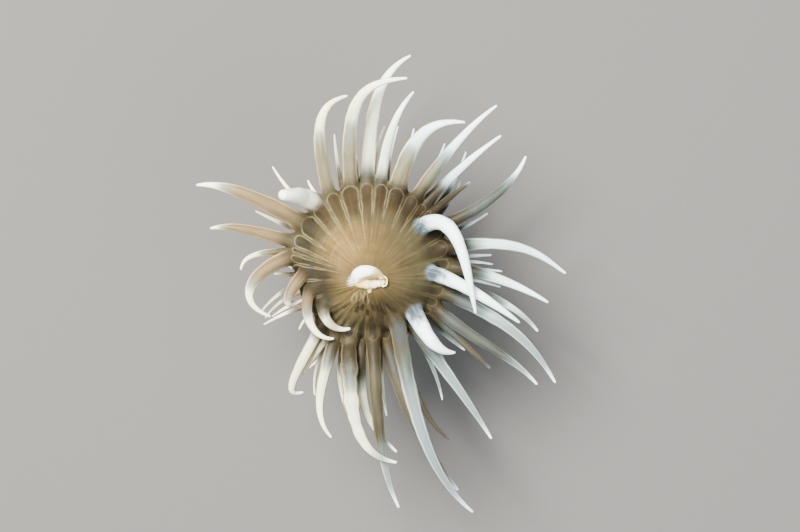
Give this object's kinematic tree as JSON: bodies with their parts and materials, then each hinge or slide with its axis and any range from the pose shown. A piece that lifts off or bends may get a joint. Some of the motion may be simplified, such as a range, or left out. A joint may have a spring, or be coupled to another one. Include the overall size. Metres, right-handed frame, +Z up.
{
  "type": "sea anemone",
  "caption": "Still life-size sea anemone, fully open: flared foot, soft column, domed oral disc with a lipped mouth, and a crown of long white tapering tentacles.",
  "frame": {"origin": "middle of the foot's flat underside", "axes": "+Z up the column to the mouth, +Y to the back along the crown's longest spread, +X to the animal's right side as seen from above with the back up"},
  "size_m": [0.0481, 0.0595, 0.0298],
  "materials": {
    "column": "smooth moist flesh with pale streaks",
    "disc": "moist translucent flesh with cream radial lines",
    "lips": "moist opaque flesh, fine ridges",
    "tentacles": "moist translucent white flesh"
  },
  "bodies": {
    "root": {"foot": "column", "column_lower": "column", "column_upper": "column", "oral_disc": "disc", "lips": "lips", "tentacle_01": "tentacles", "tentacle_02_root": "tentacles", "tentacle_02_tip": "tentacles", "tentacle_03_root": "tentacles", "tentacle_03_tip": "tentacles", "tentacle_04": "tentacles", "tentacle_05": "tentacles", "tentacle_06": "tentacles", "tentacle_07": "tentacles", "tentacle_08": "tentacles", "tentacle_09": "tentacles", "tentacle_10_root": "tentacles", "tentacle_10_tip": "tentacles", "tentacle_11_root": "tentacles", "tentacle_11_tip": "tentacles", "tentacle_12": "tentacles", "tentacle_13": "tentacles", "tentacle_14": "tentacles", "tentacle_15_root": "tentacles", "tentacle_15_tip": "tentacles", "tentacle_16": "tentacles", "tentacle_17": "tentacles", "tentacle_18": "tentacles", "tentacle_19_root": "tentacles", "tentacle_19_tip": "tentacles", "tentacle_20_root": "tentacles", "tentacle_20_tip": "tentacles", "tentacle_21_root": "tentacles", "tentacle_21_tip": "tentacles", "tentacle_22": "tentacles", "tentacle_23_root": "tentacles", "tentacle_23_tip": "tentacles", "tentacle_24_root": "tentacles", "tentacle_24_tip": "tentacles", "tentacle_25": "tentacles", "tentacle_26": "tentacles", "tentacle_27": "tentacles", "tentacle_28": "tentacles", "tentacle_29": "tentacles", "tentacle_30": "tentacles", "tentacle_31": "tentacles", "tentacle_32": "tentacles", "tentacle_33": "tentacles", "tentacle_34": "tentacles", "tentacle_35": "tentacles", "tentacle_36": "tentacles", "margin_right": "tentacles", "margin_back": "tentacles", "margin_left": "tentacles", "margin_front": "tentacles"}
  },
  "joints": []
}
